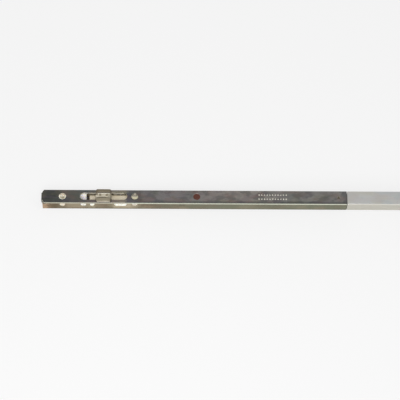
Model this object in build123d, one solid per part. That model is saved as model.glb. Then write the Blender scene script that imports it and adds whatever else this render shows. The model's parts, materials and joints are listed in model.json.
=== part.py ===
from build123d import *
import math
import os

# Espagnolette lock for a window sash: a flat rail, a drive rod that slides behind it,
# a locking block riveted to the rod, and a gear case whose square hub drives the rod.
# The hub's axis is the origin. The rail runs along X and its face looks up along +Z.
# A place is measured along the rail from its left end, a depth from the face downwards.

# Overall sizes, in millimetres
hub_place = 438.0
face_width = 16.0
face_thickness = 2.5
channel_depth = 15.0
stroke = 18.0

# Faceplates
seam_from_hub = 100.6
seam_gap = 0.5
corner_cut_long = 2.0
corner_cut_wide = 3.6
face_round = 0.3
screw_hole = 4.6
screw_sink = 8.1
end_screw_inset = 22.5
button_from_slot = 8.3
plug_place = 171.0
sight_from_seam = 9.4
sight_hole = 3.2

# Slot that the locking block stands in
slot_play = 0.3
slot_spare = 0.2

# Two rows of round punch marks in the face
punch_from_seam = 97.4
punch_pitch = 3.0
punch_count = 11
punch_across = 2.6
punch_radius = 0.8
punch_depth = 0.25

# Channel behind the faceplate
channel_inset = 0.2
channel_wall = 1.2
channel_bend = 1.6
channel_start = 0.5
case_spare = 2.0
floor_hole = 6.0
foot_length = 6.0
foot_width = 4.0
foot_short = 0.2

# Drive rod and rack bar
rod_width = 9.3
rod_top = 2.79
rod_thickness = 2.5
rod_tip = 0.8
rod_end_spare = 4.9
rod_in_slot = 10.1
spine_width = 5.7
spine_height = 0.7
rod_join_gap = 0.6
rack_margin = 2.75
tail_spare = 3.0

# Gear
tooth_count = 16
pressure_angle = 20.0
tooth_addendum = 1.2
tooth_root_spare = 0.35
backlash = 0.3
window_count = 13
window_width = 6.0
tooth_side_gap = 0.3
tooth_sink = 0.5
hub_square = 7.0
journal_radius = 7.5
journal_play = 0.05
journal_proud = 0.15
hub_core_radius = 9.2
hub_side_gap = 0.1

# Gear case
case_length = 64.0
case_half_thickness = 5.4
boss_height = 0.4
case_wall = 1.25
cavity_half_width = 3.5
cavity_spare = 0.5
case_corner = 7.0
hub_boss_radius = 11.0
bush_wall = 1.1
bush_seat_play = 0.02
bush_flange = 0.45
handle_pitch = 43.0
sleeve_bore = 5.4
sleeve_wall = 1.0
sleeve_boss_radius = 5.6
case_rivet_shank = 1.5
case_rivet_head = 2.4
case_rivet_inset = 3.4
tenon_place = 24.0
tenon_length = 5.0
tenon_play = 0.1

# Locking block
neck_length = 15.4
neck_width = 8.6
head_length = 17.4
head_inset = 0.7
head_lift = 0.2
groove_height = 1.4
ridge_height = 3.3
pad_height = 3.2
pad_end_height = 2.6
ridge_width = 5.1
riser_lean = 0.8
pad_width = 4.2
pad_bulge = 0.6
pad_cut = 2.9
pad_cut_bulge = 0.5
head_corner = 2.4
head_bevel = 1.1
head_round = 0.3
seat_inset = 1.0
rivet_spread = 3.7
rivet_across = 0.8
rivet_shank = 1.0
rivet_head = 1.3
rivet_head_height = 0.6
rivet_tail = 1.9
rivet_tail_height = 1.0

# Nylon pieces
bush_length = 13.0
collar_recess = 0.15
collar_rim = 0.45
guide_length = 10.0
guide_count = 3
guide_before_plug = 21.0
guide_before_seam = 37.4
guide_before_case = 20.0
end_guide_reach = 5.3
end_guide_length = 12.6
end_lug_from_slot = 4.0
slot_lug_width = 6.0
tip_guide_gap = 0.4
tip_guide_length = 7.2
tip_lug_width = 5.0
side_guide_length = 15.8
side_guide_reach = 0.4
side_lug_width = 13.6
button_guide_length = 9.8
button_lug_width = 5.6
lug_depth = 5.3
lug_round = 2.6
lug_short = 0.05
guide_ledge = 3.2
guide_play = 0.15
trough_spare = 0.5
end_lug_width = 5.8
button_stem = 4.4
button_recess = 1.1
plug_recess = 0.1
stub_radius = 2.2

# Joints between the rail's two modules
coupler_length = 40.0
coupler_width = 6.0
coupler_thickness = 2.2
coupler_pin = 1.3
coupler_pin_inset = 5.0
coupler_pin_step = 8.0
joiner_length = 40.0
joiner_width = 12.4
joiner_thickness = 1.5
joiner_rivet_inset = 5.0
joiner_rivet_step = 8.0
joiner_rivet = 1.5
joiner_rivet_head = 2.7
joiner_rivet_height = 0.7

# End caps
cap_length = 8.5
cap_nose = 0.7
cap_nose_top = 0.3
cap_nose_bottom = 7.0
latch_inset = 1.2
latch_length = 3.0
latch_height = 1.3

# Clearances, and how far a cutting body runs past what it cuts
cut_over = 1.0
seat_gap = 0.1
head_play = 0.04
slide_gap = 0.2

# Sizes that follow from the ones above
half_face = face_width / 2
half_channel = half_face - channel_inset
half_inside = half_channel - channel_wall
floor_top = channel_depth - channel_wall
rod_bottom = rod_top + rod_thickness
half_rod = rod_width / 2
pitch_radius = 2 * stroke / math.pi
backset = rod_top + rod_thickness / 2 + pitch_radius
tooth_pitch = 2 * math.pi * pitch_radius / tooth_count
base_radius = pitch_radius * math.cos(math.radians(pressure_angle))
tip_radius = pitch_radius + tooth_addendum
root_radius = pitch_radius - rod_thickness / 2 - tooth_root_spare
rung_width = tooth_pitch / 2 - backlash / 2
tooth_half_width = window_width / 2 - tooth_side_gap
rack_reach = window_count * tooth_pitch / 2 + rack_margin
rack_end = hub_place + rack_reach
tail_length = rack_reach + stroke + tail_spare + bush_length / 2 + end_screw_inset
rail_length = hub_place + tail_length
seam_place = hub_place - seam_from_hub
sight_place = seam_place - sight_from_seam
punch_start = seam_place - punch_from_seam
slot_width = neck_width + 2 * slot_play
slot_length = neck_length + 2 * (stroke + slot_spare + slot_play)
rod_start = end_screw_inset + bush_length / 2 + rod_end_spare + stroke
slot_start = rod_start - rod_in_slot
slot_end = slot_start + slot_length
block_place = (slot_start + slot_end) / 2
button_place = slot_end + button_from_slot
head_width = face_width - 2 * head_inset
ridge_edge = head_width / 2 - ridge_width
pad_edge = pad_width - head_width / 2
cap_nose_width = face_width - 2 * corner_cut_wide
case_bottom = backset + tip_radius + cavity_spare + case_wall
case_start = hub_place - case_length / 2
case_end = hub_place + case_length / 2
boss_half = case_half_thickness + boss_height
sleeve_radius = sleeve_bore / 2 + sleeve_wall
bush_radius = journal_radius + journal_play + bush_wall
bush_flange_radius = max(pitch_radius - rod_thickness / 2 - slide_gap, bush_radius)
right_screw_place = rail_length - end_screw_inset
plug_sink_depth = (screw_sink - screw_hole) / 2
rivet_trough = rod_bottom + rivet_tail_height + trough_spare
coupler_bottom = rod_bottom + coupler_thickness
coupler_trough = coupler_bottom + rivet_tail_height + trough_spare

# Ends of the nylon guides along the rail, and the middle and width of each lug
end_guide_start = slot_start - end_guide_reach
side_guide_end = slot_end + side_guide_reach
slot_end_span = (end_guide_start, end_guide_start + end_guide_length)
slot_end_lug = (slot_start + end_lug_from_slot, slot_lug_width)
rod_tip_span = (rod_start + tip_guide_gap, rod_start + tip_guide_gap + tip_guide_length)
rod_tip_lug = (sum(rod_tip_span) / 2 - tip_guide_gap, tip_lug_width)
slot_side_span = (side_guide_end - side_guide_length, side_guide_end)
slot_side_lug = (sum(slot_side_span) / 2, side_lug_width)
button_span = (button_place - button_guide_length / 2, button_place + button_guide_length / 2)
button_lug = (button_place, button_lug_width)
left_bush_lug = (end_screw_inset, end_lug_width)
right_bush_lug = (right_screw_place, end_lug_width)


def x_at(place):
    return place - hub_place


def z_at(depth):
    return backset - depth


def brick(start, end, near, far, top, bottom):
    # A box between two places, two values of y and two depths
    middle = (x_at((start + end) / 2), (near + far) / 2, z_at((top + bottom) / 2))
    return Pos(*middle) * Box(end - start, far - near, bottom - top)


def slab(start, end, half_width, top, bottom):
    return brick(start, end, -half_width, half_width, top, bottom)


def peg(place, across, radius, top, bottom):
    # An upright round bar
    middle = (x_at(place), across, z_at((top + bottom) / 2))
    return Pos(*middle) * Cylinder(radius, bottom - top)


def cross_bar(x, z, radius, near, far):
    # A round bar along Y
    return Pos(x, (near + far) / 2, z) * Rot(90, 0, 0) * Cylinder(radius, far - near)


def long_hole(place, length, width, top, bottom):
    # An upright bar with half-round ends
    shape = extrude(SlotOverall(length, width), bottom - top)
    return Pos(x_at(place), 0, z_at(bottom)) * shape


def sunk_cone(place, top, bottom, play):
    # The cone of a countersink, or of a head that seats in it, between two depths
    top_radius = screw_sink / 2 - top - play
    bottom_radius = screw_sink / 2 - bottom - play
    middle = (x_at(place), 0, z_at((top + bottom) / 2))
    return Pos(*middle) * Cone(bottom_radius, top_radius, bottom - top)


def screw_cut(place):
    bore = peg(place, 0, screw_hole / 2, -cut_over, face_thickness + cut_over)
    return bore + sunk_cone(place, 0, plug_sink_depth, 0)


def bush_cut(place):
    # The straight hole that the collar of a screw bush stands in
    return peg(place, 0, screw_sink / 2, -cut_over, face_thickness + cut_over)


def plate_blank(start, end, cut_start, cut_end):
    # A plate with long edges rounded, and the corners of a free end cut
    left = x_at(start)
    right = x_at(end)
    inner = half_face - corner_cut_wide
    if cut_start:
        outline = [(left + corner_cut_long, -half_face), (left, -inner), (left, inner)]
        outline += [(left + corner_cut_long, half_face)]
    else:
        outline = [(left, -half_face), (left, half_face)]
    if cut_end:
        outline += [(right - corner_cut_long, half_face), (right, inner), (right, -inner)]
        outline += [(right - corner_cut_long, -half_face)]
    else:
        outline += [(right, half_face), (right, -half_face)]
    face = make_face(Polyline(*outline, close=True))
    plate = Pos(0, 0, z_at(face_thickness)) * extrude(face, face_thickness)
    long_edges = plate.edges().filter_by(Axis.X).group_by(Axis.Z)[-1]
    return fillet(long_edges, face_round)


def faceplate_rail():
    plate = plate_blank(0, seam_place - seam_gap / 2, True, False)
    plate -= bush_cut(end_screw_inset)
    plate -= screw_cut(button_place)
    plate -= screw_cut(plug_place)
    below = face_thickness + cut_over
    plate -= long_hole(block_place, slot_length, slot_width, -cut_over, below)
    plate -= peg(sight_place, 0, sight_hole / 2, -cut_over, below)
    for index in range(punch_count):
        place = punch_start + index * punch_pitch
        for across in (-punch_across, punch_across):
            plate -= peg(place, across, punch_radius, -cut_over, punch_depth)
    return plate


def tenon(side, place, play):
    # A tab of a case half that is staked into the faceplate
    near = half_rod + slide_gap - play
    far = case_half_thickness + play
    low, high = sorted((side * near, side * far))
    start = place - tenon_length / 2 - play
    end = place + tenon_length / 2 + play
    return brick(start, end, low, high, 0, face_thickness)


def tenon_places():
    return (hub_place - tenon_place, hub_place + tenon_place)


def faceplate_gear():
    plate = plate_blank(seam_place + seam_gap / 2, rail_length, False, True)
    plate -= bush_cut(right_screw_place)
    for place in tenon_places():
        for side in (-1, 1):
            plate -= tenon(side, place, tenon_play)
    return plate


def lug(place, width, play, near, far):
    # A half-round lug, or the notch that takes it, with its flat side at the plate
    radius = min(lug_round, width / 2) + play
    half = width / 2 + play
    bottom = lug_depth + face_thickness + play
    shape = brick(place - half, place + half, near, far, face_thickness, bottom - radius)
    if half > radius:
        reach = half - radius
        shape += brick(place - reach, place + reach, near, far, bottom - radius, bottom)
    for offset in sorted({radius - half, half - radius}):
        shape += cross_bar(x_at(place + offset), z_at(bottom - radius), radius, near, far)
    return shape


def channel(start, end, lugs, guide_places, screw_place, joiner_places):
    outside = slab(start, end, half_channel, face_thickness, channel_depth)
    lower_edges = outside.edges().filter_by(Axis.X).group_by(Axis.Z)[0]
    outside = fillet(lower_edges, channel_bend)
    inside_top = face_thickness - cut_over
    inside = slab(start - cut_over, end + cut_over, half_inside, inside_top, floor_top)
    inner_edges = inside.edges().filter_by(Axis.X).group_by(Axis.Z)[0]
    body = outside - fillet(inner_edges, channel_bend - channel_wall)
    for place, width in lugs:
        body -= lug(place, width, seat_gap, -half_face, half_face)
    for place in guide_places:
        body -= foot(place, seat_gap)
    above = floor_top - cut_over
    below = channel_depth + cut_over
    for place in joiner_places:
        body -= peg(place, 0, joiner_rivet, above, below)
    if screw_place:
        body -= peg(screw_place, 0, floor_hole / 2, above, below)
    return body


def foot(place, play):
    # The foot of a guide, or the window in the channel's floor that holds it
    length = foot_length + 2 * play
    width = foot_width + 2 * play
    bottom = channel_depth + cut_over if play else channel_depth - foot_short
    return long_hole(place, length, width, floor_top - play, bottom)


def rivet_places(length, inset, step):
    # Two places near each end of a bar whose middle is at the seam
    outer = length / 2 - inset
    inner = outer - step
    return [seam_place + offset for offset in (-outer, -inner, inner, outer)]


def joiner_places():
    return rivet_places(joiner_length, joiner_rivet_inset, joiner_rivet_step)


def coupler_pins():
    return rivet_places(coupler_length, coupler_pin_inset, coupler_pin_step)


def rail_guide_places():
    # Guides spread evenly between the plug and the seam
    first = plug_place - guide_before_plug
    last = seam_place - guide_before_seam
    step = (last - first) / (guide_count - 1)
    return [first + index * step for index in range(guide_count)]


def gear_guide_place():
    return case_start - guide_before_case


def slot_guide_middles():
    spans = (slot_end_span, rod_tip_span, slot_side_span, button_span)
    return [sum(span) / 2 for span in spans]


def channel_rail():
    lugs = (left_bush_lug, slot_end_lug, rod_tip_lug, slot_side_lug, button_lug)
    feet = rail_guide_places() + slot_guide_middles()
    end = seam_place - seam_gap / 2
    body = channel(channel_start, end, lugs, feet, end_screw_inset, joiner_places()[:2])
    return body - cap_latches(0, 1, seat_gap)


def channel_gear():
    start = seam_place + seam_gap / 2
    end = case_start - case_spare
    return channel(start, end, (), [gear_guide_place()], None, joiner_places()[2:])


def channel_tail():
    end = rail_length - channel_start
    body = channel(case_end + case_spare, end, [right_bush_lug], (), right_screw_place, ())
    return body - cap_latches(rail_length, -1, seat_gap)


def nylon_blank(start, end):
    # A block that fills the channel between the plate and the channel's floor
    body = slab(start, end, half_inside - seat_gap, face_thickness + seat_gap, floor_top)
    long_edges = body.edges().filter_by(Axis.X).group_by(Axis.Z)[0]
    return chamfer(long_edges, channel_bend - channel_wall + seat_gap)


def add_lugs(body, place, width):
    # A lug on each side, flush with the channel's outside
    inside = half_inside - seat_gap
    outside = half_channel - lug_short
    body += lug(place, width, 0, -outside, -inside)
    body += lug(place, width, 0, inside, outside)
    top = slab(place - width, place + width, half_face, 0, face_thickness + seat_gap)
    return body - top


def screw_bush(place, width):
    # A bush whose collar stands in the plate and holds the countersunk head of the screw
    start = place - bush_length / 2
    body = add_lugs(nylon_blank(start, start + bush_length), place, width)
    body += peg(place, 0, screw_sink / 2 - head_play, collar_recess, face_thickness + 2 * seat_gap)
    seat_radius = screw_sink / 2 - head_play - collar_rim
    seat_depth = seat_radius - screw_hole / 2
    middle = (x_at(place), 0, z_at(collar_recess + seat_depth / 2))
    body -= Pos(*middle) * Cone(screw_hole / 2, seat_radius, seat_depth)
    return body - peg(place, 0, screw_hole / 2, 0, channel_depth)


def guide(span, side_lug, trough):
    start, end = span
    body = nylon_blank(start, end)
    if side_lug:
        body = add_lugs(body, *side_lug)
    way = half_rod + slide_gap
    body -= slab(start - cut_over, end + cut_over, way, 0, rod_bottom + guide_play)
    body -= slab(start - cut_over, end + cut_over, guide_ledge, 0, trough)
    return body + foot((start + end) / 2, 0)


def rail_guides():
    places = rail_guide_places() + [gear_guide_place()]
    reach = guide_length / 2
    pieces = [guide((place - reach, place + reach), None, coupler_trough) for place in places]
    return Compound(children=pieces)


def glide_button():
    # Nylon button clipped into the second round hole, its tip just above the rod
    stem = peg(button_place, 0, button_stem / 2, plug_sink_depth, rod_top - seat_gap)
    return sunk_cone(button_place, button_recess, plug_sink_depth, head_play) + stem


def mid_fix_plug():
    # Plug of the mid-position lock; its lower end has sheared off and stays in the rod
    stem = peg(plug_place, 0, button_stem / 2, plug_sink_depth, rod_top - seat_gap)
    return sunk_cone(plug_place, plug_recess, plug_sink_depth, head_play) + stem


def mid_fix_stub():
    return peg(plug_place, 0, stub_radius, rod_top + seat_gap, rod_bottom)


def cap_latches(end, direction, play):
    # The nubs that hold a cap in the channel's sides, or the notches that take them
    inner = end + direction * (latch_inset + latch_length + play)
    outer = end + direction * (latch_inset - play)
    bottom = face_thickness + seat_gap + latch_height + play
    reach = half_face if play else half_channel - lug_short
    shape = slab(*sorted((outer, inner)), reach, face_thickness + seat_gap - play, bottom)
    middle = slab(*sorted((outer, inner)), half_inside - seat_gap - play, face_thickness, bottom)
    return shape - middle


def end_cap(end, direction):
    # Black cap: a block inside the channel and a nose between the plate's cut corners
    inner = end + direction * cap_length
    seat = end + direction * (channel_start + seat_gap)
    nose = end - direction * cap_nose
    body = nylon_blank(*sorted((inner, seat)))
    start, stop = sorted((nose, seat))
    body += slab(start, stop, cap_nose_width / 2, face_thickness + seat_gap, cap_nose_bottom)
    start, stop = sorted((nose, end - direction * seat_gap))
    body += slab(start, stop, cap_nose_width / 2, cap_nose_top, cap_nose_bottom)
    return body + cap_latches(end, direction, 0)


def drive_rod():
    end = seam_place - rod_join_gap / 2
    shoulder_top = rod_top + spine_height
    body = slab(rod_start, end, half_rod, shoulder_top, rod_bottom)
    body += slab(rod_start + rod_tip, end, spine_width / 2, rod_top, shoulder_top)
    for offset in (-rivet_spread, rivet_spread):
        body -= peg(block_place + offset, rivet_across, rivet_shank, 0, channel_depth)
    body -= peg(plug_place, 0, stub_radius, 0, channel_depth)
    for place in coupler_pins()[:2]:
        body -= peg(place, 0, coupler_pin, 0, channel_depth)
    return body


def rung_window(x):
    # A window of the rack: narrow at the top face, wide at the face towards the pinion
    slope = math.tan(math.radians(pressure_angle))
    half_gap = (tooth_pitch - rung_width) / 2
    half_thick = rod_thickness / 2
    top_half = half_gap - half_thick * slope
    bottom_half = half_gap + half_thick * slope
    top = z_at(rod_top)
    bottom = z_at(rod_bottom)
    points = [(x - top_half, top), (x + top_half, top), (x + bottom_half, bottom)]
    points += [(x - bottom_half, bottom)]
    face = Plane.XZ * make_face(Polyline(*points, close=True))
    return extrude(face, window_width / 2, both=True)


def rack_bar():
    body = slab(seam_place + rod_join_gap / 2, rack_end, half_rod, rod_top, rod_bottom)
    first = -(window_count - 1) / 2
    for index in range(window_count):
        body -= rung_window((first + index) * tooth_pitch)
    for place in coupler_pins()[2:]:
        body -= peg(place, 0, coupler_pin, 0, channel_depth)
    return body


def rod_coupler():
    start = seam_place - coupler_length / 2
    end = start + coupler_length
    body = slab(start, end, coupler_width / 2, rod_bottom, coupler_bottom)
    body = fillet(body.edges().filter_by(Axis.Z), coupler_width / 4)
    for place in coupler_pins():
        body -= peg(place, 0, coupler_pin, 0, channel_depth)
    return body


def coupler_rivets():
    pieces = []
    for place in coupler_pins():
        shank = peg(place, 0, coupler_pin, rod_top + seat_gap, coupler_bottom)
        tail = peg(place, 0, rivet_tail, coupler_bottom, coupler_bottom + rivet_tail_height)
        pieces.append(shank + tail)
    return Compound(children=pieces)


def joiner_plate():
    start = seam_place - joiner_length / 2
    end = start + joiner_length
    body = slab(start, end, joiner_width / 2, floor_top - joiner_thickness, floor_top)
    for place in joiner_places():
        body -= peg(place, 0, joiner_rivet, 0, channel_depth)
    return body


def joiner_rivets():
    pieces = []
    head_top = floor_top - joiner_thickness - joiner_rivet_height
    for place in joiner_places():
        shank = peg(place, 0, joiner_rivet, head_top, channel_depth)
        inner = peg(place, 0, joiner_rivet_head, head_top, head_top + joiner_rivet_height)
        outer = peg(place, 0, joiner_rivet_head, channel_depth, channel_depth + joiner_rivet_height)
        outer = chamfer(outer.edges().group_by(Axis.Z)[0], joiner_rivet_height / 2)
        pieces.append(shank + inner + outer)
    return Compound(children=pieces)


def head_limits():
    # The plan of the block's head, corners rounded, carried up past its top
    plan = RectangleRounded(head_length, head_width, head_corner)
    return Pos(x_at(block_place), 0, z_at(0)) * extrude(plan, ridge_height + cut_over)


def soften(piece):
    # Round the upper edges of a piece of the head
    halfway = z_at(-(groove_height + pad_end_height) / 2)
    upper = piece.edges().filter_by(Axis.Z, reverse=True)
    upper = [edge for edge in upper if edge.center().Z > halfway]
    return fillet(upper, head_round)


def head_ridge():
    # Ridge with a leaning riser towards the groove, and bevelled ends
    top = z_at(-ridge_height)
    floor = z_at(-groove_height)
    rear = head_width / 2
    outline = [(ridge_edge + riser_lean, top), (rear, top), (rear, floor), (ridge_edge, floor)]
    profile = Plane.YZ * make_face(Polyline(*outline, close=True))
    body = Pos(x_at(block_place), 0, 0) * extrude(profile, head_length / 2, both=True)
    return chamfer(body.edges().filter_by(Axis.Y).group_by(Axis.Z)[-1], head_bevel)


def head_pad():
    # Pad with a curved rear edge, its right corner cut round, and a crowned top
    reach = head_length / 2
    front = -head_width / 2
    left = x_at(block_place - reach)
    right = x_at(block_place + reach)
    middle = x_at(block_place)
    turn = right - pad_cut
    rear = ThreePointArc((left, pad_edge), (middle, pad_edge + pad_bulge), (turn, pad_edge))
    halfway = (turn + pad_cut / 2 + pad_cut_bulge, pad_edge - pad_cut / 2 + pad_cut_bulge)
    corner = ThreePointArc((turn, pad_edge), halfway, (right, pad_edge - pad_cut))
    sides = Polyline((right, pad_edge - pad_cut), (right, front), (left, front), (left, pad_edge))
    plan = make_face(rear + corner + sides)
    body = Pos(0, 0, z_at(-groove_height)) * extrude(plan, pad_height)
    end_z = z_at(-pad_end_height)
    crown = ThreePointArc((left, end_z), (middle, z_at(-pad_height)), (right, end_z))
    floor = z_at(0)
    walls = Polyline((right, end_z), (right, floor), (left, floor), (left, end_z))
    profile = extrude(Plane.XZ * make_face(crown + walls), half_face, both=True)
    return body & profile


def locking_block():
    limits = head_limits()
    reach = head_length / 2
    base = slab(block_place - reach, block_place + reach, head_width / 2, -groove_height, -head_lift)
    head = (base & limits) + soften(head_ridge() & limits) + soften(head_pad() & limits)
    neck = long_hole(block_place, neck_length, neck_width, -head_lift, face_thickness)
    reach = neck_length / 2 - seat_inset
    start = block_place - reach
    seat = slab(start, start + 2 * reach, spine_width / 2, face_thickness, rod_top)
    body = head + neck + seat
    for offset in (-rivet_spread, rivet_spread):
        place = block_place + offset
        body -= peg(place, rivet_across, rivet_shank, -channel_depth, channel_depth)
    return body


def block_rivets():
    pieces = []
    for offset in (-rivet_spread, rivet_spread):
        place = block_place + offset
        head_top = -groove_height - rivet_head_height
        shank = peg(place, rivet_across, rivet_shank, head_top, rod_bottom)
        head = peg(place, rivet_across, rivet_head, head_top, -groove_height)
        head = chamfer(head.edges().group_by(Axis.Z)[-1], rivet_head_height / 2)
        tail_bottom = rod_bottom + rivet_tail_height
        tail = peg(place, rivet_across, rivet_tail, rod_bottom, tail_bottom)
        pieces.append(shank + head + tail)
    return Compound(children=pieces)


def involute(angle):
    return math.tan(angle) - angle


def flank_point(radius, side):
    # A point of a tooth's flank, for a tooth that points along +Z
    pitch_half = rung_width / 2 / pitch_radius
    roll = involute(math.radians(pressure_angle)) - involute(math.acos(base_radius / radius))
    angle = side * (pitch_half + roll)
    return (radius * math.sin(angle), radius * math.cos(angle))


def gear_tooth():
    # Involute flanks from the base circle to the tip, radial below the base circle
    radii = [base_radius, (base_radius + pitch_radius) / 2, pitch_radius]
    radii += [pitch_radius + tooth_addendum / 2, tip_radius]
    left = [flank_point(radius, -1) for radius in radii]
    right = [flank_point(radius, 1) for radius in reversed(radii)]
    sink = (root_radius - tooth_sink) / base_radius
    foot_left = (left[0][0] * sink, left[0][1] * sink)
    foot_right = (right[-1][0] * sink, right[-1][1] * sink)
    lines = Line(foot_left, left[0]) + Spline(*left)
    lines += ThreePointArc(left[-1], (0, tip_radius), right[0])
    lines += Spline(*right) + Line(right[-1], foot_right) + Line(foot_right, foot_left)
    return extrude(Plane.XZ * make_face(lines), tooth_half_width, both=True)


def pinion_hub():
    core = cross_bar(0, 0, root_radius, -tooth_half_width, tooth_half_width)
    tooth = gear_tooth()
    for index in range(tooth_count):
        core += Rot(0, index * 360 / tooth_count, 0) * tooth
    side = cavity_half_width - bush_flange - hub_side_gap
    core += cross_bar(0, 0, hub_core_radius, -side, side)
    journal = boss_half + journal_proud
    core += cross_bar(0, 0, journal_radius, -journal, journal)
    return core - Box(hub_square, 2 * (boss_half + cut_over), hub_square)


def hub_bush(side):
    # Ring in the case wall with a thrust flange inside
    outer_end = side * (boss_half - seat_gap)
    inner_end = side * cavity_half_width
    flange_end = side * (cavity_half_width - bush_flange)
    ring = cross_bar(0, 0, bush_radius, *sorted((flange_end, outer_end)))
    ring += cross_bar(0, 0, bush_flange_radius, *sorted((flange_end, inner_end)))
    return ring - cross_bar(0, 0, journal_radius + journal_play, -half_face, half_face)


def case_rivet_spots():
    x = case_length / 2 - case_rivet_inset
    low = z_at(case_bottom) + case_corner
    high = z_at(rod_bottom + 2 * case_rivet_head + guide_play)
    return [(-x, low), (x, low), (-x, high), (x, high)]


def gearcase_half(side):
    half = case_half_thickness
    low, high = sorted((0, side * half))
    body = brick(case_start, case_end, low, high, face_thickness, case_bottom)
    corners = body.edges().filter_by(Axis.Y).group_by(Axis.Z)[0]
    body = fillet(corners, case_corner)
    rim = body.faces().sort_by(Axis.Y)[-1 if side > 0 else 0].edges()
    lower_rim = [edge for edge in rim if edge.center().Z < z_at(face_thickness) - seat_gap]
    body = chamfer(lower_rim, boss_height)
    boss_low, boss_high = sorted((side * (half - cut_over), side * boss_half))
    body += cross_bar(0, 0, hub_boss_radius, boss_low, boss_high)
    for x in (-handle_pitch / 2, handle_pitch / 2):
        body += cross_bar(x, 0, sleeve_boss_radius, boss_low, boss_high)
    for place in tenon_places():
        body += tenon(side, place, 0)
    inner_low, inner_high = sorted((0, side * cavity_half_width))
    body -= cross_bar(0, 0, tip_radius + cavity_spare, inner_low, inner_high)
    way = half_rod + slide_gap
    body -= slab(case_start - cut_over, case_end + cut_over, way, 0, rod_bottom + guide_play)
    body -= cross_bar(0, 0, bush_radius + bush_seat_play, -half_face, half_face)
    for x in (-handle_pitch / 2, handle_pitch / 2):
        body -= cross_bar(x, 0, sleeve_radius, -half_face, half_face)
    for x, z in case_rivet_spots():
        body -= cross_bar(x, z, case_rivet_shank, -half_face, half_face)
    return body


def case_rivets():
    pieces = []
    for x, z in case_rivet_spots():
        rivet = cross_bar(x, z, case_rivet_shank, -case_half_thickness, case_half_thickness)
        rivet += cross_bar(x, z, case_rivet_head, case_half_thickness, boss_half)
        rivet += cross_bar(x, z, case_rivet_head, -boss_half, -case_half_thickness)
        pieces.append(rivet)
    return Compound(children=pieces)


def handle_sleeve(x):
    tube = cross_bar(x, 0, sleeve_radius, -boss_half, boss_half)
    return tube - cross_bar(x, 0, sleeve_bore / 2, -half_face, half_face)


def all_parts():
    return {
        "faceplate_rail": faceplate_rail(),
        "faceplate_gear": faceplate_gear(),
        "channel_rail": channel_rail(),
        "channel_gear": channel_gear(),
        "channel_tail": channel_tail(),
        "end_cap_left": end_cap(0, 1),
        "end_cap_right": end_cap(rail_length, -1),
        "screw_bush_left": screw_bush(*left_bush_lug),
        "screw_bush_right": screw_bush(*right_bush_lug),
        "slot_end_guide": guide(slot_end_span, slot_end_lug, rivet_trough),
        "rod_tip_guide": guide(rod_tip_span, rod_tip_lug, rivet_trough),
        "slot_side_guide": guide(slot_side_span, slot_side_lug, rivet_trough),
        "button_guide": guide(button_span, button_lug, rivet_trough),
        "rail_guides": rail_guides(),
        "glide_button": glide_button(),
        "mid_fix_plug": mid_fix_plug(),
        "mid_fix_stub": mid_fix_stub(),
        "drive_rod": drive_rod(),
        "locking_block": locking_block(),
        "block_rivets": block_rivets(),
        "rack_bar": rack_bar(),
        "rod_coupler": rod_coupler(),
        "coupler_rivets": coupler_rivets(),
        "joiner_plate": joiner_plate(),
        "joiner_rivets": joiner_rivets(),
        "pinion_hub": pinion_hub(),
        "hub_bush_front": hub_bush(-1),
        "hub_bush_back": hub_bush(1),
        "gearcase_front": gearcase_half(-1),
        "gearcase_back": gearcase_half(1),
        "case_rivets": case_rivets(),
        "handle_sleeve_left": handle_sleeve(-handle_pitch / 2),
        "handle_sleeve_right": handle_sleeve(handle_pitch / 2),
    }


os.makedirs("parts", exist_ok=True)
for name, shape in all_parts().items():
    export_step(shape, f"parts/{name}.step")
    print(name, round(shape.volume, 2))
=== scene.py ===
import bmesh
import bpy
import json
import math
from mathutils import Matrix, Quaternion, Vector


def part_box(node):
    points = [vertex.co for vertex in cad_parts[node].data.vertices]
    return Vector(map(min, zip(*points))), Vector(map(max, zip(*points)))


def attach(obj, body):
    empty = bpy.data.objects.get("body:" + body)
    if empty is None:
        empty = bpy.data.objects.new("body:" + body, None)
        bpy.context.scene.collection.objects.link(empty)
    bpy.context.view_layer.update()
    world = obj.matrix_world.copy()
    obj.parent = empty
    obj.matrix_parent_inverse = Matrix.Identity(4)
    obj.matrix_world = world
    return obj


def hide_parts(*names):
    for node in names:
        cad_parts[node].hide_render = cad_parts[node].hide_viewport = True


# Espagnolette lock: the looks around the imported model. Metres, with the hub's axis at the origin,
# the rail along X and its face up along Z. Sizes in the dicts are millimetres unless they say
# otherwise
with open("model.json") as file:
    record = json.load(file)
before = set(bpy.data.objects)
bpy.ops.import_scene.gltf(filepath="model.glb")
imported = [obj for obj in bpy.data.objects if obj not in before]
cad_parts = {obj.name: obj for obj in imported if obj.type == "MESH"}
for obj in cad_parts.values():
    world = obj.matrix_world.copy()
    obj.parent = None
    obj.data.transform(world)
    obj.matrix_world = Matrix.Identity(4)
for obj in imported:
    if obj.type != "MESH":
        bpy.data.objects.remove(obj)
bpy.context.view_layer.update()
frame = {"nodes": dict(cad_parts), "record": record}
nodes = frame["nodes"]
slotOf = {entry["node"]: entry["material_slot"] for entry in frame["record"]["subparts"]}
bodies = frame["record"]["behaviour"]["bodies"]
bodyOf = {name: body for body, members in bodies.items() for name in members}
mm = 0.001
print("frame loaded:", len(nodes), "pieces")


def linearColour(hexValue):
    # an sRGB hex colour as the linear values that a shader takes, by the sRGB curve's own numbers
    channels = [int(hexValue[i:i + 2], 16) / 255 for i in (1, 3, 5)]
    linear = [c / 12.92 if c <= 0.04045 else ((c + 0.055) / 1.055) ** 2.4 for c in channels]
    return (*linear, 1.0)


def addNode(tree, kind, settings=None, links=None):
    # one shader node; a setting is one of its own properties or the value of an input
    node = tree.nodes.new(kind)
    for name, value in (settings or {}).items():
        if isinstance(name, str) and hasattr(node, name):
            setattr(node, name, value)
        else:
            node.inputs[name].default_value = value
    for name, source in (links or {}).items():
        tree.links.new(source, node.inputs[name])
    return node


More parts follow.
